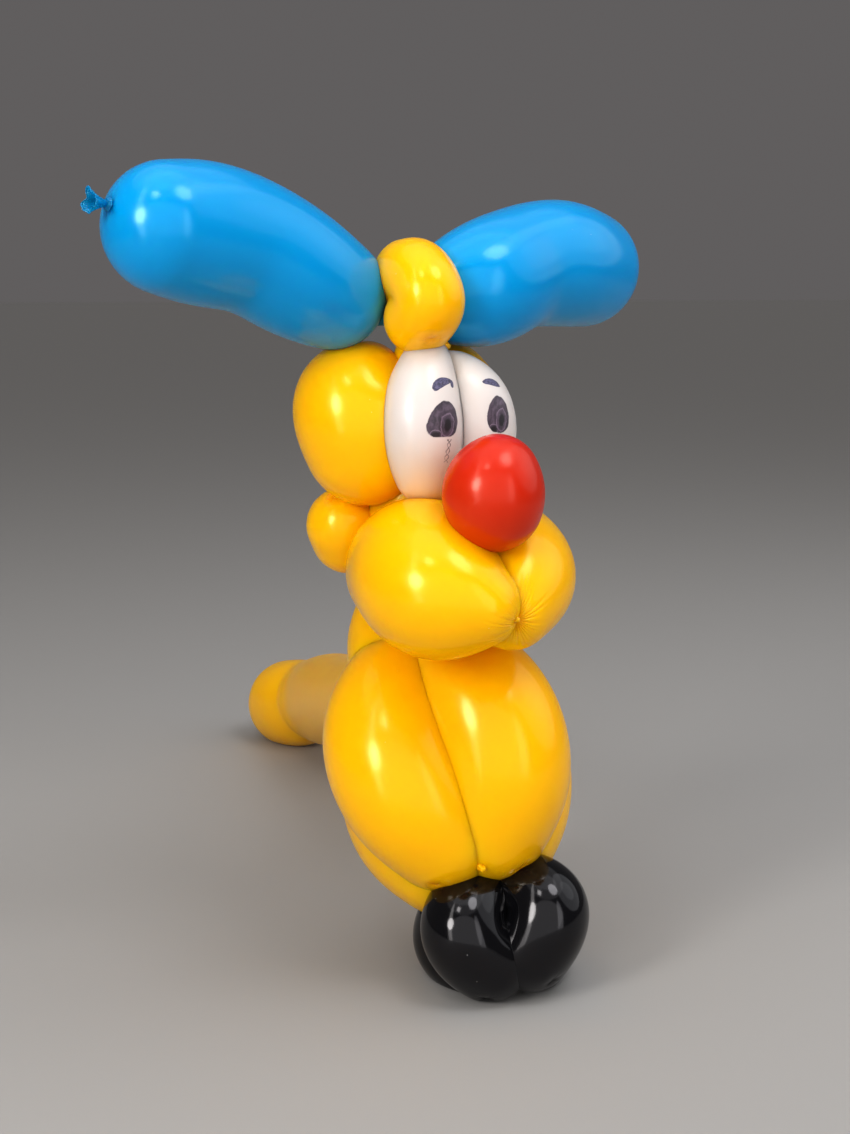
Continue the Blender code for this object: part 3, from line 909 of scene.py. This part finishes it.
class Graph:
    """Adds and links the nodes of one material or node group."""

    def __init__(self, tree: bpy.types.NodeTree) -> None:
        """Takes the tree to work on."""
        self.tree = tree

    def put(self, target: bpy.types.NodeSocket, value: object) -> None:
        """Gives a socket a constant, or links another socket to it.

        Args:
            target: the socket.
            value: the constant, with no alpha in a colour, or the other socket's value.
        """
        if isinstance(value, Value):
            self.tree.links.new(value.socket, target)
        elif target.type == "RGBA":
            target.default_value = (*value, 1.0)
        else:
            target.default_value = value

    def add(self, kind: str, **values: object) -> bpy.types.Node:
        """Adds a node.

        Args:
            kind: Blender's name of the node type.
            **values: its settings, or the values of the sockets with those names.

        Returns:
            The node.
        """
        node = self.tree.nodes.new(kind)
        for name, value in values.items():
            socket = node.inputs.get(name.replace("_", " "))
            if socket is None:
                setattr(node, name, value)
            else:
                self.put(socket, value)
        return node

    def maths(self, operation: str, first: Value | float, second: Value | float = 0.0) -> Value:
        """Adds a Math node.

        Args:
            operation: Blender's name of what it does.
            first: its first input.
            second: its second input.

        Returns:
            Its result.
        """
        node = self.add("ShaderNodeMath", operation=operation)
        self.put(node.inputs[0], first)
        self.put(node.inputs[1], second)
        return Value(self, node.outputs[0])

    def mix(self, share: Value, first: Value | Colour, second: Value | Colour) -> Value:
        """Adds a colour mix.

        Args:
            share: of the second colour.
            first: the colour where that is 0.
            second: the colour where it is 1.

        Returns:
            The mixed colour.
        """
        node = self.add("ShaderNodeMix", data_type="RGBA")
        for name, value in (("Factor_Float", share), ("A_Color", first), ("B_Color", second)):
            self.put(next(one for one in node.inputs if one.identifier == name), value)
        return Value(self, next(one for one in node.outputs if one.identifier == "Result_Color"))

    def noise(self, place: Value, scale: float, detail: float, **values: float) -> Value:
        """Adds a noise and returns its value."""
        node = self.add("ShaderNodeTexNoise", Vector=place, Scale=scale, Detail=detail, **values)
        return Value(self, node.outputs["Fac"])

    def tint(self, name: str) -> Value:
        """One of the skin's tints."""
        return Value(self, self.add("ShaderNodeAttribute", attribute_name=name).outputs["Fac"])

    def spot(self) -> Value:
        """The point of the object that is shaded."""
        return Value(self, self.add("ShaderNodeTexCoord").outputs["Object"])

    def held(self, place: Value, middle: Point, size: Point, roll: float, turn: float = 0.0) -> Value:
        """A point as a drawing has it.

        Args:
            place: the point.
            middle: the drawing's middle.
            size: half its width, depth and height.
            roll: its turn about its depth, in degrees.
            turn: its turn about the upright, in degrees.

        Returns:
            The point, from -1 to 1 inside the drawing.
        """
        node = self.add("ShaderNodeMapping", vector_type="TEXTURE", Vector=place, Location=middle, Scale=size)
        node.inputs["Rotation"].default_value = (0.0, math.radians(roll), math.radians(turn))
        return Value(self, node.outputs["Vector"])

    def parts(self, place: Value) -> list[Value]:
        """The three coordinates of a point."""
        return [Value(self, one) for one in self.add("ShaderNodeSeparateXYZ", Vector=place).outputs]


def new_group(
    name: str, inputs: dict[str, float | Colour | Vector], outputs: Sequence[str]
) -> tuple[Graph, dict[str, Value], bpy.types.Node]:
    """Makes an empty shader node group.

    Args:
        name: the group's name.
        inputs: default value of each input; three numbers make a colour, and a Vector makes a vector.
        outputs: its outputs, which are numbers but for the one named Colour.

    Returns:
        Its graph, its inputs by name and its output node.
    """
    tree = bpy.data.node_groups.new(name, "ShaderNodeTree")
    graph = Graph(tree)
    for socket_name, value in inputs.items():
        kind = {tuple: "NodeSocketColor", Vector: "NodeSocketVector"}.get(type(value), "NodeSocketFloat")
        socket = tree.interface.new_socket(socket_name, in_out="INPUT", socket_type=kind)
        socket.default_value = (*value, 1.0) if isinstance(value, tuple) else value
    for socket_name in outputs:
        kind = "NodeSocketColor" if socket_name == "Colour" else "NodeSocketFloat"
        tree.interface.new_socket(socket_name, in_out="OUTPUT", socket_type=kind)
    given = graph.add("NodeGroupInput").outputs
    return graph, {one: Value(graph, given[one]) for one in inputs}, graph.add("NodeGroupOutput")


def latex_group() -> bpy.types.NodeTree:
    """Coloured latex stretched over air: mottling, painted bounce light from balloons below, thicker rubber
    at the twists, and a little dust.

    Returns:
        The group.
    """
    graph, given, out = new_group(
        "stretched_latex",
        {
            "Shade": (0.8, 0.8, 0.8), "Thick Shade": (0.5, 0.5, 0.5), "Blush": (0.5, 0.5, 0.5),
            "Mottle": 0.1, "Roughness": 0.12, "Dust": 0.3,
        },
        ("Colour", "Roughness", "Height"),
    )
    place, gather = graph.spot(), graph.tint("gather")
    cloud = graph.noise(place, 55.0, 3.0, Roughness=0.55) - 0.5
    fine = graph.noise(place, 900.0, 2.0, Roughness=0.6)
    thick = (gather**1.5 * 0.8 + cloud * given["Mottle"]).clamped()
    # painted bounce light: near a balloon below, the skin is tinted with that balloon's colour
    shade = graph.mix(graph.tint("painted_bounce"), given["Shade"], given["Blush"])
    colour = graph.mix(thick, shade, given["Thick Shade"])
    cells = graph.add("ShaderNodeTexVoronoi", Vector=place, Scale=210.0)
    lot = graph.add("ShaderNodeSeparateColor", Color=Value(graph, cells.outputs["Color"]))
    rare = Value(graph, lot.outputs[0]).above(0.93)
    dust = rare * Value(graph, cells.outputs["Distance"]).below(0.05) * given["Dust"]
    graph.put(out.inputs["Colour"], graph.mix(dust, colour, (0.8, 0.8, 0.8)))
    rough = cloud * 0.06 + given["Roughness"] + gather * 0.1
    graph.put(out.inputs["Roughness"], (rough + dust * 0.5).clamped())
    graph.put(out.inputs["Height"], fine * 0.35 + dust * 0.6)
    return graph.tree


def ink_group() -> bpy.types.NodeTree:
    """A blot of pen ink: an egg or an arc with an uneven edge, streaks, and loops drawn round a dark core;
    its pale colour is partly paler strokes and partly painted sheen of the lamps on the glossy ink.

    Returns:
        The group.
    """
    graph, given, out = new_group(
        "pen_ink",
        {
            "Place": Vector(), "Lean": 0.0, "Egg": 0.0, "Bend": 0.0, "Taper": 0.0, "Flat": 1.1,
            "Loops": 1.0, "Ink": (0.060, 0.040, 0.062), "Sheen": (0.26, 0.19, 0.26),
        },
        ("Colour", "Mask"),
    )
    place = given["Place"]
    wide, deep, high = graph.parts(place)
    wobble = graph.noise(place, 1.7, 4.0, Roughness=0.6) - 0.5
    across = (wide - given["Lean"] * high) / (1.0 - given["Egg"] * high)
    upright = (high + given["Bend"] * (wide * wide)) / (1.0 - given["Taper"] * wide)
    far = (across * across + upright * upright).root() + wobble * 0.22
    edge = 0.05
    mask = ((1.0 - far) / edge).clamped() * ((high + given["Flat"]) / edge).clamped()
    graph.put(out.inputs["Mask"], mask * abs(deep).below(1.0))
    streaks = ((graph.noise(place, 2.2, 5.0, Distortion=0.6) - 0.45) * 4.0).clamped()

    def loop(middle: Point, size: Point, turn: float) -> Value:
        """Places a drawn loop.

        Args:
            middle: its middle.
            size: half its width, depth and height.
            turn: its turn, in degrees.

        Returns:
            Distance from its middle, which is 1 on the loop.
        """
        length = graph.add("ShaderNodeVectorMath", operation="LENGTH")
        graph.put(length.inputs[0], graph.held(place, middle, size, turn))
        return Value(graph, length.outputs["Value"]) + wobble * 0.7

    def line(distance: Value, thickness: float) -> Value:
        """A line along a loop."""
        return (1.0 - abs(distance - 1.0) / thickness).clamped()

    main = loop((0.16, 0.0, -0.28), (0.46, 9.0, 0.60), 24.0)
    small = loop((-0.55, 0.0, -0.80), (0.36, 9.0, 0.32), 0.0)
    # pale swirls: partly paler pen strokes, partly painted sheen of the lamps on the glossy ink
    swirl = (main * 9.0 + wobble * 11.0).sine() * 0.5 + 0.5
    rim = ((far - 0.72) / 0.28).clamped()
    core = ((0.62 - main) / 0.2).clamped()
    corner = ((1.0 - small).clamped() * 2.0).clamped()
    dark = (core.most(corner) * given["Loops"]).most(streaks * 0.6).most(rim * 0.5)
    colour = graph.mix(swirl * 0.30, given["Ink"], given["Sheen"])
    colour = graph.mix(dark, colour, (0.012, 0.008, 0.012))
    lines = line(main, 0.10).most(line(small, 0.13)) * given["Loops"]
    graph.put(out.inputs["Colour"], graph.mix(lines * 0.75, colour, given["Sheen"]))
    return graph.tree


def chain_group() -> bpy.types.NodeTree:
    """A scribbled chain of thin pen loops, from the top down.

    Returns:
        The group.
    """
    graph, given, out = new_group("pen_chain", {"Place": Vector(), "Loops": 3.0}, ("Mask",))
    wide, deep, high = graph.parts(given["Place"])
    uneven = graph.noise(given["Place"], 1.3, 3.0) - 0.5
    phase = high * (0.25 * TURN) * given["Loops"] + uneven * 3.0
    swing = phase.cosine() * (uneven * 1.6 + 0.62)
    wide = wide + uneven * 0.9
    first, second = ((1.15 - abs(gap) / 0.26).clamped() for gap in (wide + swing, wide - swing))
    mask = first.most(second) * abs(high).below(1.0) * abs(deep).below(1.0)
    graph.put(out.inputs["Mask"], mask * (high * 0.18 + 0.74))
    return graph.tree


@dataclass(frozen=True)
class Mark:
    """Pen ink drawn on a balloon."""

    centre: Point  # its middle on the skin
    size: tuple[float, float]  # half its width and half its height
    turn: float  # turn of the skin there about the upright, in degrees
    shape: tuple[tuple[str, float | Colour], ...]  # values of the drawing's inputs
    roll: float = 0.0  # turn of the drawing in the skin, in degrees
    chain: bool = False  # whether it is a chain of loops and not a blot

    DEPTH = 9.0  # how far before and behind its middle it can lie
    CHAIN_INK = (0.03, 0.02, 0.035)

    def draw(
        self, graph: Graph, group: bpy.types.NodeTree, place: Value, datum: np.ndarray
    ) -> tuple[Value | Colour, Value]:
        """Adds the drawing to a material.

        Args:
            graph: the material's graph.
            group: the ink's effect.
            place: the point of the skin.
            datum: the dog's datum, in millimetres.

        Returns:
            The ink's colour and where it lies.
        """
        middle = tuple((datum + np.array(self.centre)) * MM)
        size = (self.size[0] * MM, self.DEPTH * MM, self.size[1] * MM)
        held = graph.held(place, middle, size, self.roll, self.turn)
        drawn = graph.add("ShaderNodeGroup", node_tree=group, Place=held, **dict(self.shape)).outputs
        return self.CHAIN_INK if self.chain else Value(graph, drawn["Colour"]), Value(graph, drawn["Mask"])


# the brows' pale colour is partly paler strokes and partly painted sheen of the lamps on the glossy ink
BROW_INK = (("Ink", (0.050, 0.046, 0.11)), ("Sheen", (0.30, 0.25, 0.42)), ("Loops", 0.0))
MARKS = (
    Mark((-26.4, -5.3, 247.8), (7.3, 7.8), 8.7, (("Lean", 0.20), ("Egg", 0.24), ("Flat", 0.90))),
    Mark((0.2, -1.0, 248.9), (6.0, 7.8), 8.7, (("Lean", 0.10), ("Egg", 0.16))),
    Mark(
        (-25.2, 0.0, 262.9), (5.8, 1.8), 8.0, (*BROW_INK, ("Bend", 0.8), ("Taper", 0.35), ("Flat", 1.7)),
        roll=-15.0,
    ),
    Mark((-20.1, 0.6, 261.8), (1.0, 1.5), 8.0, BROW_INK, roll=12.0),
    Mark((-0.8, 4.5, 262.1), (4.7, 1.45), 9.0, (*BROW_INK, ("Bend", 0.6), ("Taper", -0.1)), roll=12.0),
    Mark((-24.9, -4.3, 235.1), (1.3, 4.9), 8.7, (("Loops", 4.0),), roll=5.0, chain=True),
)


@dataclass(frozen=True)
class Latex:
    """Glossy coloured rubber."""

    rubber: Rubber  # the record's slot
    shade: Colour  # colour of the stretched skin
    thick: Colour  # colour where it is gathered
    roughness: float  # of its surface
    glow: float = 0.25  # share of the light that passes into the skin and out again
    reach: Colour = (0.012, 0.006, 0.003)  # how far that light travels, in metres, for red, green and blue
    polish: float = 0.25  # weight of the thin glossy layer over it
    painted_bounce: Colour | None = None  # painted colour of the light that a balloon below bounces into it, or nothing for its own colour
    sheen: Colour = (1.0, 1.0, 1.0)  # tint of what it reflects
    marks: tuple[Mark, ...] = ()  # ink drawn on it

    INDEX = 1.5  # of refraction
    POLISHED = 0.12  # roughness of the glossy layer
    MOTTLE = 0.12  # unevenness of the colour
    INKED = 0.12  # how much rougher ink makes the skin
    GLOW_SCALE = 0.01  # length that the glow's reach is stated in, in metres
    BUMP = 0.04  # strength of the fine relief
    BUMP_DEPTH = 0.0004  # of that relief, in metres

    def material(self, effects: dict[str, bpy.types.NodeTree], datum: np.ndarray) -> bpy.types.Material:
        """The material, with the shared effects placed in it.

        Args:
            effects: the shared effects, by name.
            datum: the dog's datum, in millimetres.

        Returns:
            The material.
        """
        made = bpy.data.materials.new(self.rubber.value)
        made.use_nodes = True
        graph = Graph(made.node_tree)
        shader = made.node_tree.nodes["Principled BSDF"].inputs
        effect = graph.add(
            "ShaderNodeGroup", node_tree=effects["latex"], Shade=self.shade, Thick_Shade=self.thick,
            Blush=self.painted_bounce or self.shade, Mottle=self.MOTTLE, Roughness=self.roughness,
        ).outputs
        colour, rough, height = (Value(graph, effect[name]) for name in ("Colour", "Roughness", "Height"))
        place = graph.spot() if self.marks else None
        for mark in self.marks:
            ink, mask = mark.draw(graph, effects["chain" if mark.chain else "ink"], place, datum)
            colour, rough = graph.mix(mask, colour, ink), rough + mask * self.INKED
        bump = graph.add("ShaderNodeBump", Strength=self.BUMP, Distance=self.BUMP_DEPTH, Height=height)
        settings = {
            "Base Color": colour, "Roughness": rough, "Normal": Value(graph, bump.outputs["Normal"]),
            "IOR": self.INDEX, "Specular Tint": self.sheen, "Subsurface Weight": self.glow,
            "Subsurface Radius": tuple(length / self.GLOW_SCALE for length in self.reach),
            "Subsurface Scale": self.GLOW_SCALE, "Coat Weight": self.polish,
            "Coat Roughness": self.POLISHED, "Coat IOR": self.INDEX,
        }
        for name, value in settings.items():
            graph.put(shader[name], value)
        return made


LATEXES = (
    Latex(
        Rubber.BLUE, (0.0, 0.29, 0.63), (0.0, 0.12, 0.33), roughness=0.21, glow=0.3,
        reach=(0.002, 0.006, 0.012), polish=0.15, sheen=(0.40, 0.84, 1.0),
    ),
    Latex(
        Rubber.YELLOW, (0.95, 0.48, 0.0), (0.95, 0.38, 0.0), roughness=0.23, glow=0.5,
        reach=(0.014, 0.011, 0.002), polish=0.15, sheen=(1.0, 0.90, 0.30),
    ),
    Latex(
        Rubber.WHITE, (0.61, 0.62, 0.65), (0.64, 0.61, 0.58), roughness=0.32, glow=1.0,
        # painted bounce light from the balloons below, a warm peach tint
        reach=(0.020, 0.018, 0.017), polish=0.1, painted_bounce=(0.78, 0.50, 0.27), marks=MARKS,
    ),
    Latex(
        Rubber.RED, (0.55, 0.015, 0.006), (0.50, 0.005, 0.003), roughness=0.26, reach=(0.012, 0.003, 0.002),
        # painted bounce light from the yellow muzzle below, an orange tint
        polish=0.1, painted_bounce=(0.56, 0.050, 0.0), sheen=(1.0, 0.55, 0.45),
    ),
    Latex(
        Rubber.BLACK, (0.004, 0.004, 0.005), (0.003, 0.003, 0.003), roughness=0.10, glow=0.0, polish=0.0,
        sheen=(0.80, 0.78, 0.80),
    ),
)


# ---- Studio ----


WARM, COOL, DAYLIGHT = (1.0, 0.98, 0.95), (0.98, 0.98, 1.0), (0.94, 0.97, 1.0)


@dataclass(frozen=True)
class Softbox:
    """A flat light."""

    name: str
    azimuth: float  # where it hangs, in degrees to the right of the camera as the dog's viewer has it
    elevation: float  # in degrees above the floor
    spread: tuple[float, float]  # its width and height, in degrees as the dog sees it
    radiance: float  # how bright its face is
    tilt: float = 0.0  # turn about the line to the dog, in degrees
    colour: Colour = (1.0, 1.0, 1.0)  # linear
    shape: str = "ELLIPSE"  # Blender's name of its outline

    DISTANCE = 1.3  # from the dog's chest, in metres

    def hang(self, middle: Vector, ahead: float) -> None:
        """Makes the light, facing the dog.

        Args:
            middle: the point that it faces.
            ahead: azimuth of the camera, in degrees from -Y towards +X.
        """
        lamp = bpy.data.lights.new(self.name, "AREA")
        width, height = (2.0 * self.DISTANCE * math.tan(math.radians(0.5 * angle)) for angle in self.spread)
        lamp.shape, lamp.color, lamp.size, lamp.size_y = self.shape, self.colour, width, height
        face = width * height * (0.25 * math.pi if self.shape == "ELLIPSE" else 1.0)
        lamp.energy = math.pi * face * self.radiance
        way = direction(ahead + self.azimuth, self.elevation)
        made = place(self.name, lamp, middle + way * self.DISTANCE, way)
        tilted = Quaternion((0.0, 0.0, 1.0), math.radians(self.tilt))
        made.rotation_quaternion = made.rotation_quaternion @ tilted


def place(name: str, data: bpy.types.ID, where: Vector, back: Vector) -> bpy.types.Object:
    """Puts a light or a camera in the scene.

    Args:
        name: the object's name.
        data: the light or the camera.
        where: its place.
        back: direction that its back faces.

    Returns:
        The object.
    """
    made = bpy.data.objects.new(name, data)
    made.location = where
    made.rotation_mode = "QUATERNION"
    made.rotation_quaternion = back.to_track_quat("Z", "Y")
    bpy.context.scene.collection.objects.link(made)
    return made


def direction(azimuth: float, elevation: float) -> Vector:
    """Unit vector towards an azimuth, from -Y towards +X, and an elevation, both in degrees."""
    turn, lift = math.radians(azimuth), math.radians(elevation)
    return Vector((math.sin(turn) * math.cos(lift), -math.cos(turn) * math.cos(lift), math.sin(lift)))


@dataclass
class Studio:
    """The floor, the lights and the camera."""

    aim: Point = (16.1, 105.7, 166.8)  # what the camera looks at, in millimetres from the datum
    azimuth: float = -25.0  # of the camera, in degrees from -Y towards +X
    elevation: float = 9.82  # of the camera, in degrees above the floor
    distance: float = 0.78  # of the camera from its aim, in metres
    lens: float = 50.79  # its focal length, in millimetres
    softboxes: tuple[Softbox, ...] = (
        Softbox("key_box", -41.0, 21.0, (17.0, 22.0), 18.0, 0.0, WARM),
        Softbox("long_box", -41.0, 15.0, (10.0, 96.0), 4.2, 12.0, WARM),
        Softbox("small_box", -26.0, 54.0, (9.0, 9.0), 11.0, 0.0, (1.0, 0.98, 0.96), "RECTANGLE"),
        Softbox("strip_box", 38.0, 8.0, (14.0, 60.0), 2.2, 0.0, COOL),
        Softbox("panel_box", 45.0, 60.0, (22.0, 23.0), 8.0, 0.0, COOL),
        Softbox("window_box", 92.0, 34.0, (30.0, 34.0), 1.8, 0.0, DAYLIGHT),
        Softbox("curtain_box", 92.0, 34.0, (62.0, 66.0), 1.1, 0.0, DAYLIGHT),
        Softbox("fill_box", 0.0, 14.0, (84.0, 60.0), 1.2),
        Softbox("ceiling_box", 0.0, 84.0, (60.0, 40.0), 0.9, 0.0, (0.97, 0.98, 1.0)),
    )
    overcast: float = 0.85  # strength of the wide, even light from above
    air: Colour = (0.170, 0.162, 0.162)  # brightness of the dim light from all round
    floor: Colour = (0.34, 0.33, 0.32)  # colour of the floor

    CHEST = (-0.01, 0.02, 0.20)  # what the lights face, in metres from the datum
    FLOOR_HALF = 40.0  # half the floor's side, in metres
    FLOOR_ROUGHNESS = 0.75
    SKY = 80.0  # width of the light from above, in degrees
    EXPOSURE = -0.45  # of the picture, in stops

    def build(self, datum: Vector) -> None:
        """Sets the studio up round the dog.

        Args:
            datum: the dog's datum in the frame, in metres.
        """
        self._floor()
        for softbox in self.softboxes:
            softbox.hang(datum + Vector(self.CHEST), self.azimuth)
        self._world()
        self._camera(datum + Vector(self.aim) * MM)
        view = bpy.context.scene.view_settings
        view.view_transform, view.look, view.exposure = "Standard", "Medium High Contrast", self.EXPOSURE

    def _floor(self) -> None:
        """A plain pale floor."""
        mesh = bpy.data.meshes.new("studio_floor")
        low, high = -self.FLOOR_HALF, self.FLOOR_HALF
        corners = [(low, low, 0.0), (high, low, 0.0), (high, high, 0.0), (low, high, 0.0)]
        mesh.from_pydata(corners, [], [(0, 1, 2, 3)])
        floor = bpy.data.objects.new("studio_floor", mesh)
        bpy.context.scene.collection.objects.link(floor)
        made = bpy.data.materials.new("studio_floor")
        made.use_nodes = True
        shader = made.node_tree.nodes["Principled BSDF"].inputs
        shader["Base Color"].default_value = (*self.floor, 1.0)
        shader["Roughness"].default_value = self.FLOOR_ROUGHNESS
        mesh.materials.append(made)

    def _world(self) -> None:
        """Even, dim light from all round, and more of it from above."""
        lamp = bpy.data.lights.new("overcast", "SUN")
        lamp.angle, lamp.energy = math.radians(self.SKY), self.overcast
        place("overcast", lamp, Vector(), direction(0.0, 90.0))
        world = bpy.data.worlds.new("studio_air")
        world.use_nodes = True
        back = world.node_tree.nodes["Background"].inputs
        back["Color"].default_value = (*self.air, 1.0)
        back["Strength"].default_value = 1.0
        bpy.context.scene.world = world

    def _camera(self, aim: Vector) -> None:
        """The camera, in front of the dog and to its right.

        Args:
            aim: what it looks at.
        """
        back = direction(self.azimuth, self.elevation)
        lens = bpy.data.cameras.new("studio_camera")
        lens.lens = self.lens
        bpy.context.scene.camera = place("studio_camera", lens, aim + back * self.distance, back)


# ---- The dog ----


class Dog:
    """All the balloons, and where they stand in the frame."""

    def __init__(self) -> None:
        """Gathers the balloons and finds the datum from the frame's boxes."""
        self.balloons: list[Balloon] = [Ears(), Head(), Eyes(), Nose(), Body(), Feet()]
        self.datum = np.array([self._place("left ear", 0), self._place("tail", 1), -FLOOR])

    def _place(self, name: str, axis: int) -> float:
        """Where the datum lies along an axis.

        Args:
            name: the bubble that reaches as far as its node of the frame does.
            axis: the axis, from 0 to 2.

        Returns:
            The place, in millimetres.
        """
        found = ((one.node, bubble) for one in self.balloons for bubble in one.bubbles if bubble.name == name)
        node, bubble = next(found)
        return np.array(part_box(node)[1])[axis] / MM - (bubble.centres[:, axis] + bubble.radii).max()

    def build(self) -> None:
        """Builds every balloon and dresses it."""
        effects = {"latex": latex_group(), "ink": ink_group(), "chain": chain_group()}
        finishes = {latex.rubber: latex.material(effects, self.datum) for latex in LATEXES}
        for balloon in self.balloons:
            rivals = (rival for rival in self.balloons if rival is not balloon)
            strangers = [bubble for rival in rivals for bubble in rival.bubbles]
            piece = balloon.build(strangers, self.datum)
            balloon.dress(piece, finishes[balloon.rubber])
            log.info("%s: %d faces", piece.name, len(piece.data.polygons))


def write_sizes() -> None:
    """Updates the view layer, so that every object's place is worked out.
    """
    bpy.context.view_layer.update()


def main() -> None:
    """Builds the dog and its studio."""
    logging.basicConfig(level=logging.INFO, format="%(name)s %(message)s")
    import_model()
    dog = Dog()
    dog.build()
    Studio().build(Vector(dog.datum * MM))
    write_sizes()


if __name__ == "__main__":
    main()
